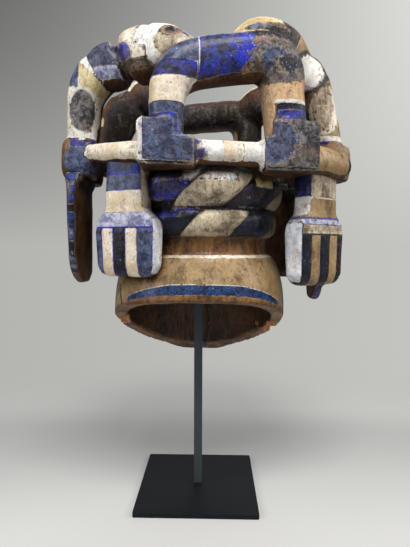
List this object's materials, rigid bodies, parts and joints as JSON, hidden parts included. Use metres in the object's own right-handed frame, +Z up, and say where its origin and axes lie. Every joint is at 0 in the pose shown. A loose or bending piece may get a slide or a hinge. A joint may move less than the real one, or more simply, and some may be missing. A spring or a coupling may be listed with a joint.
{
  "type": "gelede mask",
  "caption": "Carved and painted wooden helmet mask with a coiled turban and an open cage of banded limbs with hanging hands, on a steel post and foot plate.",
  "frame": {"origin": "centre of the foot plate's underside", "axes": "+Z up along the post; +Y is where the carved face looks; the nape, the side in the picture, is at -Y; +X to the right in that view"},
  "size_m": [0.3968, 0.3147, 0.6447],
  "materials": {
    "painted_wood": "hand-carved, thick matt pigment in indigo, ultramarine, cream and tan, worn and flaking",
    "stand_steel": "matt dark paint"
  },
  "bodies": {
    "root": {"mask": "painted_wood", "stand_post": "stand_steel", "stand_plate": "stand_steel"}
  },
  "joints": []
}
